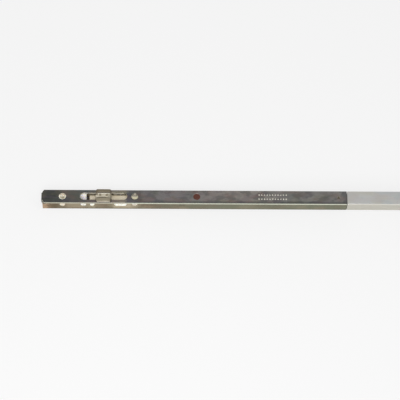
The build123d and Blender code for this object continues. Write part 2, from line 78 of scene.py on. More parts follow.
def startMaterial(name, metallic=0.0, ior=None):
    # a material with its shader, and the object's own coordinates in metres
    material = bpy.data.materials.new(name)
    material.use_nodes = True
    tree = material.node_tree
    shader = tree.nodes["Principled BSDF"]
    shader.inputs["Metallic"].default_value = metallic
    if ior:
        shader.inputs["IOR"].default_value = ior
    coords = addNode(tree, "ShaderNodeTexCoord").outputs["Object"]
    return material, tree, shader, coords


# Patterns that the finishes share. An "Edge" is where a pattern fades in, as two values of a
# noise that swings around 0.5, and a "Relief" is its depth in millimetres and its strength.
# Zinc grains, roll lines, shear scores, pores and the grain of a moulding tool are really a few
# hundredths of a millimetre wide: here and in the finishes they are as coarse as they need to
# be to show
patternLook = {
    "noiseSwing": (0.3, 0.7),
    "noiseRoughness": 0.55,
    "wanderSize": 4.0,
    "wanderReach": 12.0,        # times the noise, so about 3 mm to each side
    "poolEdge": (0.48, 0.62),
    "poolShift": 0.31,
    "poolShiftStep": 0.17,
    "speckEdge": (0.6, 0.72),
    "speckStrength": 0.35,
    "rollStretch": 90.0,
    "rollEdge": (0.55, 0.75),
    "rollStrength": 0.2,
    "rollRelief": (0.02, 0.35),
    "cloudStretch": 3.0,
    "scoreSize": 1.6,
    "scoreStretch": 0.08,       # upright, so 0.13 mm wide
    "scoreEdge": (0.4, 0.66),
    "scoreFade": 0.2,           # from the face down
    "scoreStrength": 0.3,
    "pitEdge": (0.64, 0.74),
    "pitStrength": 0.35,
    "pitRelief": (0.03, 0.3),
    "flowStretch": 1.6,
    "toolRelief": (0.02, 0.2),
}


def cloudiness(tree, coords, size, stretch=1.0, shift=0.0, detail=3.0):
    # soft patches about size millimetres across, drawn out along the rail by stretch; shift
    # moves them in metres, so that no two patterns fall together
    settings = {"operation": "MULTIPLY_ADD", 1: (1 / stretch, 1, 1), 2: (shift, shift, shift)}
    drawn = addNode(tree, "ShaderNodeVectorMath", settings, {0: coords}).outputs[0]
    settings = {
        "Scale": 1 / (size * mm), "Detail": detail, "Roughness": patternLook["noiseRoughness"],
    }
    return addNode(tree, "ShaderNodeTexNoise", settings, {"Vector": drawn}).outputs["Fac"]


def measures(tree, coords):
    # a surface point's place along X, Y and Z in millimetres, and how far the surface faces
    # along each, from -1 to 1
    settings = {"operation": "SCALE", "Scale": 1 / mm}
    scaled = addNode(tree, "ShaderNodeVectorMath", settings, {0: coords}).outputs[0]
    normal = addNode(tree, "ShaderNodeTexCoord").outputs["Normal"]
    place = addNode(tree, "ShaderNodeSeparateXYZ", links={0: scaled}).outputs
    facing = addNode(tree, "ShaderNodeSeparateXYZ", links={0: normal}).outputs
    found = {axis: place[axis] for axis in "XYZ"}
    found.update({"facing" + axis: facing[axis] for axis in "XYZ"})
    # X with some wander, for a border that isn't straight
    reach = patternLook["wanderReach"]
    wander = cloudiness(tree, coords, patternLook["wanderSize"], shift=0.53, detail=4.0)
    lowest = addNode(tree, "ShaderNodeMath", {1: -reach / 2}, {0: place["X"]}).outputs[0]
    settings = {"operation": "MULTIPLY_ADD", 1: reach}
    links = {0: wander, 2: lowest}
    found["raggedX"] = addNode(tree, "ShaderNodeMath", settings, links).outputs[0]
    return found


def maskWhere(tree, *tests):
    # each test is (source, low, high): 0 at low, 1 at high and smooth between, and all of them
    # are multiplied; low may lie above high
    share = None
    for source, low, high in tests:
        settings = {"interpolation_type": "SMOOTHSTEP", "From Min": low, "From Max": high}
        step = addNode(tree, "ShaderNodeMapRange", settings, {"Value": source}).outputs["Result"]
        if share is None:
            share = step
        else:
            settings = {"operation": "MULTIPLY"}
            share = addNode(tree, "ShaderNodeMath", settings, {0: share, 1: step}).outputs[0]
    return share


def tintOver(tree, below, colour, mask, strength):
    # a colour over another, as strong as its mask from 0 to 1 and its strength allow; the mix
    # node takes its two colours at inputs 6 and 7 and gives one at output 2
    settings = {"operation": "MULTIPLY", 1: strength}
    share = addNode(tree, "ShaderNodeMath", settings, {0: mask}).outputs[0]
    settings = {"data_type": "RGBA", 7: linearColour(colour)}
    links = {0: share}
    if isinstance(below, str):
        settings[6] = linearColour(below)
    else:
        links[6] = below
    return addNode(tree, "ShaderNodeMix", settings, links).outputs[2]


def tintPools(tree, coords, colour, pools):
    # cloudy pools of colour over a ground, each (colour, size, stretch, strength)
    for index, (tint, size, stretch, strength) in enumerate(pools):
        shift = patternLook["poolShift"] + patternLook["poolShiftStep"] * index
        pool = cloudiness(tree, coords, size, stretch, shift)
        mask = maskWhere(tree, (pool, *patternLook["poolEdge"]))
        colour = tintOver(tree, colour, tint, mask, strength)
    return colour


def tintRegions(tree, coords, colour, regions):
    # colours for parts of a surface, each (colour, strength, {measure: (low, high)}), where a
    # later one lies over an earlier one
    if not regions:
        return colour
    found = measures(tree, coords)
    for tint, strength, limits in regions:
        mask = maskWhere(tree, *((found[name], *ends) for name, ends in limits.items()))
        colour = tintOver(tree, colour, tint, mask, strength)
    return colour


def roughen(tree, shader, pattern, low, high):
    # roughness that follows a pattern
    least, most = patternLook["noiseSwing"]
    settings = {"From Min": least, "From Max": most, "To Min": low, "To Max": high}
    spread = addNode(tree, "ShaderNodeMapRange", settings, {"Value": pattern})
    tree.links.new(spread.outputs["Result"], shader.inputs["Roughness"])


def emboss(tree, shader, pattern, depth, strength):
    # a pattern as relief, depth in millimetres
    settings = {"Strength": strength, "Distance": depth * mm}
    relief = addNode(tree, "ShaderNodeBump", settings, {"Height": pattern})
    tree.links.new(relief.outputs["Normal"], shader.inputs["Normal"])


def passivatedSteel(name, look):
    # Cold-rolled steel strip, zinc plated and passivated: a satin metal with the faint lines
    # of the rolls along it, and the cloudy, slightly iridescent tints of the bath
    material, tree, shader, coords = startMaterial(name, metallic=look["metallic"])
    colour = tintRegions(tree, coords, look["ground"], look.get("shades", []))
    colour = tintPools(tree, coords, colour, look["pools"])
    grains = cloudiness(tree, coords, look["grain"], detail=2.0, shift=0.7)
    mask = maskWhere(tree, (grains, *patternLook["speckEdge"]))
    colour = tintOver(tree, colour, look["speck"], mask, patternLook["speckStrength"])
    stretch = patternLook["rollStretch"]
    rolled = cloudiness(tree, coords, look["rollLine"], stretch, shift=0.2, detail=2.0)
    mask = maskWhere(tree, (rolled, *patternLook["rollEdge"]))
    colour = tintOver(tree, colour, look["shine"], mask, patternLook["rollStrength"])
    colour = tintRegions(tree, coords, colour, look.get("regions", []))
    if "shear" in look:
        # the fine upright scores of the shear on the strip's edges, below its face
        tint, top = look["shear"]
        size, stretch = patternLook["scoreSize"], patternLook["scoreStretch"]
        scores = cloudiness(tree, coords, size, stretch, shift=0.6, detail=2.0)
        below = (measures(tree, coords)["Z"], top, top - patternLook["scoreFade"])
        mask = maskWhere(tree, (scores, *patternLook["scoreEdge"]), below)
        colour = tintOver(tree, colour, tint, mask, patternLook["scoreStrength"])
    tree.links.new(colour, shader.inputs["Base Color"])
    clouds = cloudiness(tree, coords, look["cloud"], patternLook["cloudStretch"])
    roughen(tree, shader, clouds, *look["roughness"])
    emboss(tree, shader, rolled, *patternLook["rollRelief"])
    return material


def castZinc(name, look):
    # Pressure die-cast zinc, or sintered steel: a satin skin with flow marks, slightly pitted
    material, tree, shader, coords = startMaterial(name, metallic=look["metallic"])
    colour = tintPools(tree, coords, look["ground"], look["pools"])
    colour = tintRegions(tree, coords, colour, look.get("regions", []))
    pits = cloudiness(tree, coords, look["pit"], detail=2.0, shift=0.9)
    mask = maskWhere(tree, (pits, *patternLook["pitEdge"]))
    colour = tintOver(tree, colour, look["pitColour"], mask, patternLook["pitStrength"])
    tree.links.new(colour, shader.inputs["Base Color"])
    flow = cloudiness(tree, coords, look["flow"], patternLook["flowStretch"], detail=4.0)
    roughen(tree, shader, flow, *look["roughness"])
    emboss(tree, shader, pits, *patternLook["pitRelief"])
    return material


def mouldedPlastic(name, look):
    # Injection-moulded plastic: even colour, a satin skin with the fine grain of the tool
    material, tree, shader, coords = startMaterial(name, ior=look["ior"])
    colour = tintPools(tree, coords, look["ground"], look["pools"])
    colour = tintRegions(tree, coords, colour, look.get("regions", []))
    tree.links.new(colour, shader.inputs["Base Color"])
    shader.inputs["Subsurface Weight"].default_value = look["glow"]
    shader.inputs["Subsurface Radius"].default_value = [reach * mm for reach in look["glowReach"]]
    shader.inputs["Subsurface Scale"].default_value = 1.0    # the reaches are true lengths
    flow = cloudiness(tree, coords, look["flow"], shift=0.4)
    roughen(tree, shader, flow, *look["roughness"])
    grain = cloudiness(tree, coords, look["grain"], detail=1.0)
    emboss(tree, shader, grain, *patternLook["toolRelief"])
    return material


# The looks of the finishes. Pools are (colour, size, stretch, strength), shades lie under them
# and regions over them

# Rail faceplate: steel strip, dark passivation, paler to the right; its cut edges are bare metal
# with a painted highlight
darkPlateLook = {
    "metallic": 0.7,
    "ground": "#4a4b48",
    "shades": [
        ("#807e80", 0.85, {"raggedX": (-432, -335)}),
        # rubbed by the block's head, brown where it leaves grease
        ("#97927a", 0.8, {"raggedX": (-362.5, -360.5), "Y": (2.0, 5.0)}),
        ("#9c8f7e", 0.8, {"raggedX": (-362.5, -360.5), "Y": (-4.0, -5.5)}),
        ("#565260", 0.8, {"raggedX": (-346.0, -343.0)}),
        ("#84807f", 0.9, {"raggedX": (-330.0, -326.0)}),
        # paler to the right, and darker again at the join; darker along the near edge
        ("#958e87", 0.85, {"raggedX": (-300, -215)}),
        ("#878682", 0.8, {"raggedX": (-205, -165)}),
        ("#56575a", 0.6, {"raggedX": (-108, -103)}),
        ("#4c5250", 0.6, {"raggedX": (-335, -325), "Y": (-4.4, -6.4)}),
    ],
    "pools": [
        ("#32383b", 8.0, 1.6, 0.4),
        ("#6c6069", 9.0, 2.0, 0.32),
        ("#6c6a55", 12.0, 1.8, 0.32),
        ("#81665f", 8.0, 2.0, 0.3),
        ("#59635f", 10.0, 1.5, 0.28),
    ],
    "grain": 0.9,
    "speck": "#3a3a3a",
    "rollLine": 0.35,
    "shine": "#858480",
    "regions": [
        # painted shade on the rolled-over far edge, which turns away from the lamps
        ("#202224", 0.9, {"Y": (7.5, 7.75), "facingZ": (0.995, 0.95)}),
        # below the face the strip was sheared, drilled and punched after it was rolled; the sheared
        # edge is bare metal with a painted highlight above, and torn, so duller, below
        ("#d6d3bf", 0.9, {"Z": (15.25, 15.1)}),
        ("#8c8873", 0.7, {"Z": (13.9, 13.3), "Y": (-7.0, -7.5), "X": (-325.0, -355.0)}),
        # to the right the shears were sharper: a dark rolled-over lip, then a bright cut with a
        # painted highlight
        ("#e4e8d6", 0.9, {"Z": (15.1, 14.9), "Y": (-7.0, -7.5), "X": (-355.0, -325.0)}),
        ("#5b5d58", 0.85, {"Z": (14.6, 14.9), "Y": (-7.0, -7.5), "X": (-355.0, -325.0)}),
        # painted highlight on the slot's far walls, where they face the lamps
        ("#faf7ec", 0.95, {"Z": (15.3, 15.15), "Y": (4.2, 4.5), "facingY": (0.2, 0.0)}),
        # painted shade, with dust, in the far side of the button's hole
        ("#6d6457", 0.85, {
            "Z": (15.35, 15.15), "X": (-341.0, -340.0), "Y": (0.8, 1.8), "facingY": (0.2, 0.0),
        }),
        # bare metal in the punch marks, but not on the far edge
        ("#efece0", 0.95, {
            "Z": (15.45, 15.35), "X": (-200, -199), "Y": (-4.5, -4.0), "facingY": (0.995, 0.95),
        }),
    ],
    "shear": ("#97937d", 15.2),
    "cloud": 9.0,
    "roughness": (0.34, 0.5),
}

# Gear module's faceplate: the same strip with a pale passivation
palePlateLook = {
    "metallic": 0.85,
    "ground": "#d8d8d5",
    "pools": [
        ("#cdc8b2", 14.0, 2.0, 0.3),
        ("#cdc3c8", 10.0, 2.0, 0.25),
        ("#bccacd", 12.0, 1.5, 0.3),
    ],
    "grain": 0.9,
    "speck": "#aeaca6",
    "rollLine": 0.35,
    "shine": "#edece8",
    "regions": [("#e2e0d5", 0.9, {"Z": (15.25, 15.1)})],
    "shear": ("#aeab9e", 15.2),
    "cloud": 11.0,
    "roughness": (0.3, 0.46),
}

# Channel behind the faceplates: steel, yellowish passivation, olive to the right
channelLook = {
    "metallic": 0.6,
    "ground": "#8b8168",
    "shades": [
        ("#6f6754", 0.8, {"raggedX": (-345, -325)}),
        ("#6a715a", 0.85, {"X": (-360, -180)}),
        ("#635135", 0.8, {"raggedX": (-417, -423)}),
    ],
    "pools": [
        ("#a08f75", 11.0, 1.5, 0.45),
        ("#5c4f3d", 9.0, 1.6, 0.4),
        ("#80654f", 10.0, 2.0, 0.3),
    ],
    "regions": [
        # the pools fade to the right
        ("#7c7b68", 0.55, {"X": (-300, -240)}),
        # greyer and darker on the lower bend
        ("#767370", 0.75, {"Z": (2.7, 1.9)}),
        # the gear module's lengths are pale, like its plate
        ("#cfccc2", 0.85, {"X": (-100.8, -100.4)}),
        # the free end is paler and browner; pale streaks under the lugs and the slot are a painted
        # glow of light
        ("#b6997b", 0.8, {"raggedX": (-429.5, -433.5)}),
        ("#c0b29a", 0.33, {"X": (-414, -408), "raggedX": (-376, -382), "Z": (2.5, 6.0)}),
        ("#c0b29a", 0.75, {"X": (-362, -356), "raggedX": (-326, -344), "Z": (2.5, 6.0)}),
    ],
    "grain": 1.1,
    "speck": "#54483a",
    "rollLine": 0.45,
    "shine": "#9a8b72",
    "cloud": 13.0,
    "roughness": (0.4, 0.55),
}

# Drive rod, rack bar and coupler: drawn steel, yellowish passivation
rodLook = {
    "metallic": 0.4,
    "ground": "#d6cab1",
    "pools": [("#e3d9c6", 8.0, 1.5, 0.5), ("#b5a688", 6.0, 1.8, 0.35)],
    "regions": [
        # painted shade on the rod's shoulders beside its spine, and along its far side
        ("#4a3f2c", 0.9, {"Z": (12.45, 12.25), "facingZ": (0.5, 0.9)}),
        ("#4a3f2c", 0.55, {"Y": (2.2, 2.6)}),
        # and darker where the sight hole shows it
        ("#4c4435", 0.85, {"X": (-118.0, -114.0)}),
    ],
    "grain": 0.8,
    "speck": "#94836a",
    "rollLine": 0.3,
    "shine": "#dcd1bd",
    "cloud": 7.0,
    "roughness": (0.35, 0.5),
}

# Locking block: zinc die casting, olive-brown passivation
blockLook = {
    "metallic": 0.55,
    "ground": "#cbc3ae",
    "pools": [("#aaa389", 3.0, 1.0, 0.4), ("#c0aea4", 3.5, 1.0, 0.3)],
    "regions": [
        # painted shade: the raised tops are darker, as they turn away from the lamps, and darkest
        # along the pad's rear edge
        ("#948a75", 0.85, {"Z": (17.0, 18.2), "Y": (0.0, -1.0), "facingZ": (0.3, 0.6)}),
        ("#4d4534", 0.85, {"Z": (17.3, 17.8), "Y": (-4.0, -3.2), "facingY": (-0.2, 0.0)}),
        ("#817764", 0.95, {"Z": (17.0, 18.2), "Y": (-1.0, 2.0)}),
        # painted light and shade: bright riser, pad front and groove floor, darker bands on their
        # upper edges
        ("#fefcf4", 0.97, {"Z": (16.9, 17.2), "Y": (1.0, 2.0), "facingY": (-0.3, -0.7)}),
        ("#40372a", 0.95, {"Z": (17.75, 17.9), "Y": (0.5, 1.5), "facingY": (-0.3, -0.7)}),
        ("#dcd3c1", 0.8, {"Z": (17.6, 17.1), "Y": (-6.0, -7.0), "facingY": (-0.3, -0.7)}),
        ("#857b67", 0.85, {"Z": (17.3, 17.7), "Y": (-6.0, -6.6), "facingY": (-0.3, -0.7)}),
        ("#dcd4c0", 0.7, {"Z": (17.2, 16.95), "facingZ": (0.8, 0.95)}),
        # painted shade: the two ends are darker, with dark lines along the block's edges and in the
        # groove's ends
        ("#564c3c", 0.8, {"Z": (15.6, 16.2), "facingX": (0.3, 0.7)}),
        ("#564c3c", 0.8, {"Z": (15.6, 16.2), "facingX": (-0.3, -0.7)}),
        ("#564c3c", 0.8, {"X": (-363.3, -362.3)}),
        ("#776c58", 0.6, {"X": (-378.2, -378.6)}),
        ("#6b604c", 0.75, {"X": (-375.6, -377.2), "Y": (0.4, 1.2)}),
        ("#9a917c", 0.6, {"X": (-366.5, -363.5), "Z": (17.3, 17.1)}),
    ],
    "pit": 0.4,
    "pitColour": "#8a806b",
    "flow": 3.5,
    "roughness": (0.36, 0.5),
}

# Gear case halves: bare zinc die casting
caseLook = {
    "metallic": 0.75,
    "ground": "#9b9c9c",
    "pools": [("#85878a", 9.0, 1.0, 0.4), ("#aba9a0", 7.0, 1.0, 0.35)],
    "pit": 0.5,
    "pitColour": "#77787a",
    "flow": 8.0,
    "roughness": (0.42, 0.56),
}

# Pinion hub: sintered steel, oiled, with its pores
hubLook = {
    "metallic": 0.8,
    "ground": "#7d7b77",
    "pools": [("#67635a", 4.0, 1.0, 0.45)],
    "pit": 0.3,
    "pitColour": "#45433f",
    "flow": 5.0,
    "roughness": (0.38, 0.52),
}

# Rivets and screw sleeves: bright zinc-plated steel
rivetLook = {
    "metallic": 0.85,
    "ground": "#a6a39b",
    "pools": [("#98917b", 3.0, 1.0, 0.35)],
    "grain": 0.5,
    "speck": "#7d7a72",
    "rollLine": 0.25,
    "shine": "#cdcac2",
    "cloud": 3.0,
    "roughness": (0.28, 0.42),
}

# Rivets of the locking block: steel, darker than the other rivets
darkRivetLook = {
    "metallic": 0.7,
    "ground": "#958b75",
    "pools": [("#a59b84", 2.0, 1.0, 0.4)],
    "grain": 0.4,
    "speck": "#453f33",
    "rollLine": 0.25,
    "shine": "#8a8069",
    "cloud": 3.0,
    "roughness": (0.32, 0.46),
}

# Bushes and guides: white nylon
whiteNylonLook = {
    "ior": 1.53,
    "ground": "#fbf4e6",
    "pools": [("#ece5d8", 5.0, 1.0, 0.5)],
    "regions": [
        # the left collar is yellower and its lug darker, with painted shade on the collar's far
        # side
        ("#f2e8d0", 0.7, {"X": (-409.5, -410.5), "Z": (13.0, 13.5)}),
        ("#b3a897", 0.85, {"Z": (14.0, 14.4), "Y": (0.8, 1.8)}),
        ("#ddcdb4", 0.7, {"X": (-405, -408), "Y": (-6.0, -7.0)}),
        # the guides' tops, under the slot, stay clean
        ("#f3f1f7", 0.8, {"Z": (13.1, 13.0), "facingZ": (0.5, 0.8)}),
        # the lower part of the lug beside the glide button is darker, in the channel's brown
        ("#a8997c", 0.75, {"X": (-342.0, -340.0), "Z": (11.8, 10.8), "Y": (-6.0, -7.0)}),
    ],
    "glow": 0.5,
    "glowReach": (2.4, 2.1, 1.7),
    "flow": 5.0,
    "grain": 0.35,
    "roughness": (0.38, 0.5),
}

# Glide button: cream nylon, slightly greenish
creamNylonLook = {
    "ior": 1.53,
    "ground": "#d3cdae",
    "pools": [("#c2bb9c", 2.0, 1.0, 0.5), ("#cdb8a8", 2.5, 1.0, 0.3)],
    "regions": [
        # painted shadow, with dust, on the far side of the head
        ("#8a8279", 0.9, {"Y": (-0.8, 1.3)}),
    ],
    "glow": 0.15,
    "glowReach": (0.9, 0.7, 0.5),
    "flow": 2.0,
    "grain": 0.35,
    "roughness": (0.38, 0.5),
}

# Mid-position plug and its sheared stub: red-brown nylon
brownNylonLook = {
    "ior": 1.53,
    "ground": "#522312",
    "pools": [("#5f301b", 2.0, 1.0, 0.5)],
    "glow": 0.05,
    "glowReach": (0.9, 0.7, 0.5),
    "flow": 2.0,
    "grain": 0.35,
    "roughness": (0.42, 0.55),
}

# Hub bushes: acetal
acetalLook = {
    "ior": 1.48,
    "ground": "#e6e3d9",
    "pools": [("#dad6ca", 4.0, 1.0, 0.5)],
    "glow": 0.1,
    "glowReach": (0.9, 0.7, 0.5),
    "flow": 4.0,
    "grain": 0.35,
    "roughness": (0.3, 0.42),
}

# End caps: black polyamide
blackCapLook = {
    "ior": 1.53,
    "ground": "#171719",
    "pools": [("#202023", 3.0, 1.0, 0.6)],
    "glow": 0.0,
    "glowReach": (0.9, 0.7, 0.5),
    "flow": 3.0,
    "grain": 0.4,
    "roughness": (0.42, 0.55),
}

finishes = {
    "dark_plate": passivatedSteel("darkPassivatedZincOnSteel", darkPlateLook),
    "pale_plate": passivatedSteel("palePassivatedZincOnSteel", palePlateLook),
    "channel_steel": passivatedSteel("yellowishPassivatedZincOnSteel", channelLook),
    "rod_steel": passivatedSteel("drawnSteelYellowPassivated", rodLook),
    "rivet_steel": passivatedSteel("brightZincOnSteel", rivetLook),
    "rivet_dark": passivatedSteel("darkZincOnSteelRivet", darkRivetLook),
    "block_zinc": castZinc("olivePassivatedDieCastZinc", blockLook),
    "case_zinc": castZinc("bareDieCastZinc", caseLook),
    "hub_steel": castZinc("oiledSinteredSteel", hubLook),
    "white_nylon": mouldedPlastic("whiteMouldedNylon", whiteNylonLook),
    "cream_nylon": mouldedPlastic("creamMouldedNylon", creamNylonLook),
    "brown_nylon": mouldedPlastic("redBrownMouldedNylon", brownNylonLook),
    "bush_acetal": mouldedPlastic("mouldedAcetal", acetalLook),
    "black_plastic": mouldedPlastic("blackMouldedPolyamide", blackCapLook),
}


def wear(piece, slotName):
    # one finish all over a piece, by the record's name for it
    piece.data.materials.clear()
    piece.data.materials.append(finishes[slotName])


for name, node in nodes.items():
    wear(node, slotOf[name])
print("finishes:", len(finishes))


def link(piece):
    # put a new object into the scene
    bpy.context.scene.collection.objects.link(piece)
    return piece


def standFor(piece, name):
    # a finer piece takes a CAD piece's place, its body and its finish
    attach(piece, bodyOf[name])
    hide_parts(name)
    wear(piece, slotOf[name])


weldReach = 0.001 * mm              # points this close are one point
flatAngle = math.radians(0.2)       # triangles that meet flatter than this are one face


def weldedMesh(name):
    # a CAD piece's mesh with its points joined
    work = bmesh.new()
    work.from_mesh(nodes[name].data)
    bmesh.ops.remove_doubles(work, verts=work.verts, dist=weldReach)
    return work


def wholeFaces(name):
    # a CAD piece's mesh with its triangles joined into whole faces
    work = weldedMesh(name)
    bmesh.ops.dissolve_limit(
        work, angle_limit=flatAngle, use_dissolve_boundaries=False,
        verts=work.verts, edges=work.edges,
    )
    for face in work.faces:
        face.smooth = True
    mesh = bpy.data.meshes.new(name + "Fine")
    work.to_mesh(mesh)
    work.free()
    return mesh


def roundEdges(piece, width, angle=32.0, segments=2):
    # the edges that the tool leaves: sharper than angle degrees, rounded by width millimetres
    rounding = piece.modifiers.new("roundEdges", "BEVEL")
    rounding.width = width * mm
    rounding.segments = segments
    rounding.limit_method = "ANGLE"
    rounding.angle_limit = math.radians(angle)
    rounding.miter_outer = "MITER_ARC"
    shading = piece.modifiers.new("flatFaces", "WEIGHTED_NORMAL")
    shading.keep_sharp = False


# Edge rounding of each piece in millimetres: strip and sheet are rolled over a little where
# they were sheared, mouldings have the radius of their tool
edgeLook = {
    "faceplate_rail": 0.2,
    "faceplate_gear": 0.2,
    "channel_rail": 0.12,
    "channel_gear": 0.12,
    "channel_tail": 0.12,
    "end_cap_left": 0.25,
    "end_cap_right": 0.25,
    "screw_bush_left": 0.2,
    "screw_bush_right": 0.2,
    "slot_end_guide": 0.25,
    "rod_tip_guide": 0.25,
    "slot_side_guide": 0.25,
    "button_guide": 0.25,
    "rail_guides": 0.25,
    "drive_rod": 0.3,
    "rack_bar": 0.2,
    "rod_coupler": 0.2,
    "joiner_plate": 0.2,
    "pinion_hub": 0.15,
    "hub_bush_front": 0.12,
    "hub_bush_back": 0.12,
}

for name, width in edgeLook.items():
    piece = link(bpy.data.objects.new(name + "Fine", wholeFaces(name)))
    roundEdges(piece, width)
    standFor(piece, name)
print("pieces with rounded edges:", len(edgeLook))


def islandMiddles(name):
    # the middle of each separate body of a CAD piece, in millimetres
    work = weldedMesh(name)
    left = set(work.verts)
    middles = []
    while left:
        reached = {left.pop()}
        edge = list(reached)
        while edge:
            near = [other.other_vert(vertex) for vertex in edge for other in vertex.link_edges]
            edge = list({vertex for vertex in near if vertex in left})
            left.difference_update(edge)
            reached.update(edge)
        low = [min(vertex.co[axis] for vertex in reached) for axis in range(3)]
        high = [max(vertex.co[axis] for vertex in reached) for axis in range(3)]
        middles.append([(low[axis] + high[axis]) / 2 / mm for axis in range(3)])
    work.free()
    return sorted(middles)


def turnedBodies(name, middles, axis, start, profile, sharp=50.0, steps=40):
    # bodies of revolution about lines along an axis, from (radius, height) pairs in millimetres,
    # the height measured from start; the profile is closed, or starts and ends on the line.
    # An edge bent by more than sharp degrees stays sharp
    work = bmesh.new()
    closed = profile[0][0] > 0
    for middle in middles:
        rings = []
        for radius, height in profile:
            place = start + height
            count = steps if radius > 0 else 1
            ring = []
            for step in range(count):
                turn = 2 * math.pi * step / steps
                across = (radius * math.cos(turn), radius * math.sin(turn))
                if axis == "Z":
                    spot = (middle[0] + across[0], middle[1] + across[1], place)
                else:
                    spot = (middle[0] + across[0], place, middle[2] + across[1])
                ring.append(work.verts.new([value * mm for value in spot]))
            rings.append(ring)
        pairs = list(zip(rings, rings[1:]))
        if closed:
            pairs.append((rings[-1], rings[0]))
        for first, second in pairs:
            for step in range(steps):
                after = (step + 1) % steps
                corners = [first[step % len(first)], first[after % len(first)]]
                corners += [second[after % len(second)], second[step % len(second)]]
                corners = list(dict.fromkeys(corners))
                if len(corners) > 2:
                    work.faces.new(corners).smooth = True
    bmesh.ops.recalc_face_normals(work, faces=work.faces)
    for edge in work.edges:
        if edge.is_manifold and edge.calc_face_angle() > math.radians(sharp):
            edge.smooth = False
    mesh = bpy.data.meshes.new(name + "Turned")
    work.to_mesh(mesh)
    work.free()
    return link(bpy.data.objects.new(name + "Turned", mesh))


# Turned and upset pieces: radius of each corner of the profile, and its height above the
# piece's own lowest point along the axis
turnedLook = {
    # heads upset in the groove with a punched dimple
    "block_rivets": {
        "axis": "Z",
        "profile": [
            (0, 8.09), (0.28, 8.11), (0.5, 8.25), (0.7, 8.29), (0.98, 8.23), (1.2, 8.05),
            (1.3, 7.81), (1.3, 7.69), (1.0, 7.69), (1.0, 1.0), (1.9, 1.0), (1.88, 0.54),
            (1.6, 0.15), (1.1, 0), (0, 0),
        ],
    },
    # domed heads under the channel, flat ones inside it
    "joiner_rivets": {
        "axis": "Z",
        "profile": [
            (0, 0.12), (0.45, 0.1), (0.8, 0), (1.5, 0.04), (2.2, 0.22), (2.6, 0.48),
            (2.7, 0.7), (1.5, 0.7), (1.5, 3.4), (2.7, 3.4), (2.65, 3.9), (2.4, 4.1), (0, 4.1),
        ],
    },
    # low heads on both sides of the gear case
    "case_rivets": {
        "axis": "Y",
        "profile": [
            (0, 11.46), (0.5, 11.48), (0.8, 11.59), (1.5, 11.57), (2.1, 11.46), (2.4, 11.3),
            (2.4, 11.2), (1.5, 11.2), (1.5, 0.4), (2.4, 0.4), (2.4, 0.3), (2.1, 0.14),
            (1.5, 0.03), (0.8, 0.01), (0.5, 0.12), (0, 0.14),
        ],
    },
    # the head stands back in the hole; its gate left a small nub
    "glide_button": {
        "axis": "Z",
        "profile": [
            (0, 1.57), (0.32, 1.57), (0.38, 1.43), (1.6, 1.41), (2.3, 1.53), (2.7, 1.58),
            (2.88, 1.53), (2.27, 0.94), (2.2, 0.94), (2.2, 0.09), (2.0, 0), (0, 0),
        ],
    },
    # a dished head, flush with the plate
    "mid_fix_plug": {
        "axis": "Z",
        "profile": [
            (0, 2.31), (2.2, 2.33), (2.9, 2.45), (3.3, 2.57), (3.6, 2.59), (3.86, 2.54),
            (2.27, 0.94), (2.2, 0.94), (2.2, 0.09), (2.0, 0), (0, 0),
        ],
    },
    # sleeves for the handle's screws, their mouths opened with a punch
    "handle_sleeve_left": {
        "axis": "Y",
        "profile": [
            (3.15, 11.58), (2.85, 11.4), (2.7, 11.1), (2.7, 0.5), (2.85, 0.2), (3.15, 0.02),
            (3.45, 0), (3.66, 0.14), (3.7, 0.4), (3.7, 11.2), (3.66, 11.46), (3.45, 11.6),
        ],
    },
}
turnedLook["handle_sleeve_right"] = turnedLook["handle_sleeve_left"]

for name, look in turnedLook.items():
    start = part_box(name)[0]["XYZ".index(look["axis"])] / mm
    middles = islandMiddles(name)
    standFor(turnedBodies(name, middles, look["axis"], start, look["profile"]), name)
print("turned pieces:", len(turnedLook))


def cutAway(piece, cutters):
    # take closed bodies out of a piece
    for cutter in cutters:
        cut = piece.modifiers.new("cut", "BOOLEAN")
        cut.operation = "DIFFERENCE"
        cut.solver = "EXACT"
        cut.object = cutter
    graph = bpy.context.evaluated_depsgraph_get()
    mesh = bpy.data.meshes.new_from_object(piece.evaluated_get(graph))
    piece.modifiers.clear()
    piece.data = mesh
    for cutter in cutters:
        bpy.data.objects.remove(cutter)


# Gear case: ejector pins left shallow rounds on each half, placed here by X and Z; the ends of
# the tenons are spread in the faceplate by a chisel
caseWorkLook = {
    "edge": 0.3,            # rounding of the casting's edges
    "bossHeight": 0.4,      # the pins pressed on the wall, which lies this far under the bosses
    "pinRadius": 1.6,
    "pinDepth": 0.12,
    "pins": [(-29.0, 3.5), (-13.5, -9.5), (13.5, -9.5), (29.0, 3.5), (-13.5, 6.5), (13.5, 6.5)],
    "tenonPlace": 24.0,     # along X to both sides
    "tenonAcross": 5.13,    # along Y
    "chiselWidth": 0.34,
    "chiselLength": 3.8,
    "chiselDepth": 0.3,
    "pinOver": 0.3,         # how far a cutting body stands out of the surface
    "chiselOver": 0.05,
}


def chiselMark(x, y, face):
    # a V along the rail, across a tenon's end
    look = caseWorkLook
    half = look["chiselWidth"] / 2
    top = face + look["chiselOver"]
    spots = []
    for end in (-look["chiselLength"] / 2, look["chiselLength"] / 2):
        spots += [(x + end, y - half, top), (x + end, y + half, top)]
        spots += [(x + end, y, face - look["chiselDepth"])]
    mesh = bpy.data.meshes.new("chisel")
    faces = [(0, 1, 2), (5, 4, 3), (0, 3, 4, 1), (1, 4, 5, 2), (2, 5, 3, 0)]
    mesh.from_pydata([[value * mm for value in spot] for spot in spots], [], faces)
    work = bmesh.new()
    work.from_mesh(mesh)
    bmesh.ops.recalc_face_normals(work, faces=work.faces)
    work.to_mesh(mesh)
    work.free()
    return link(bpy.data.objects.new("chisel", mesh))


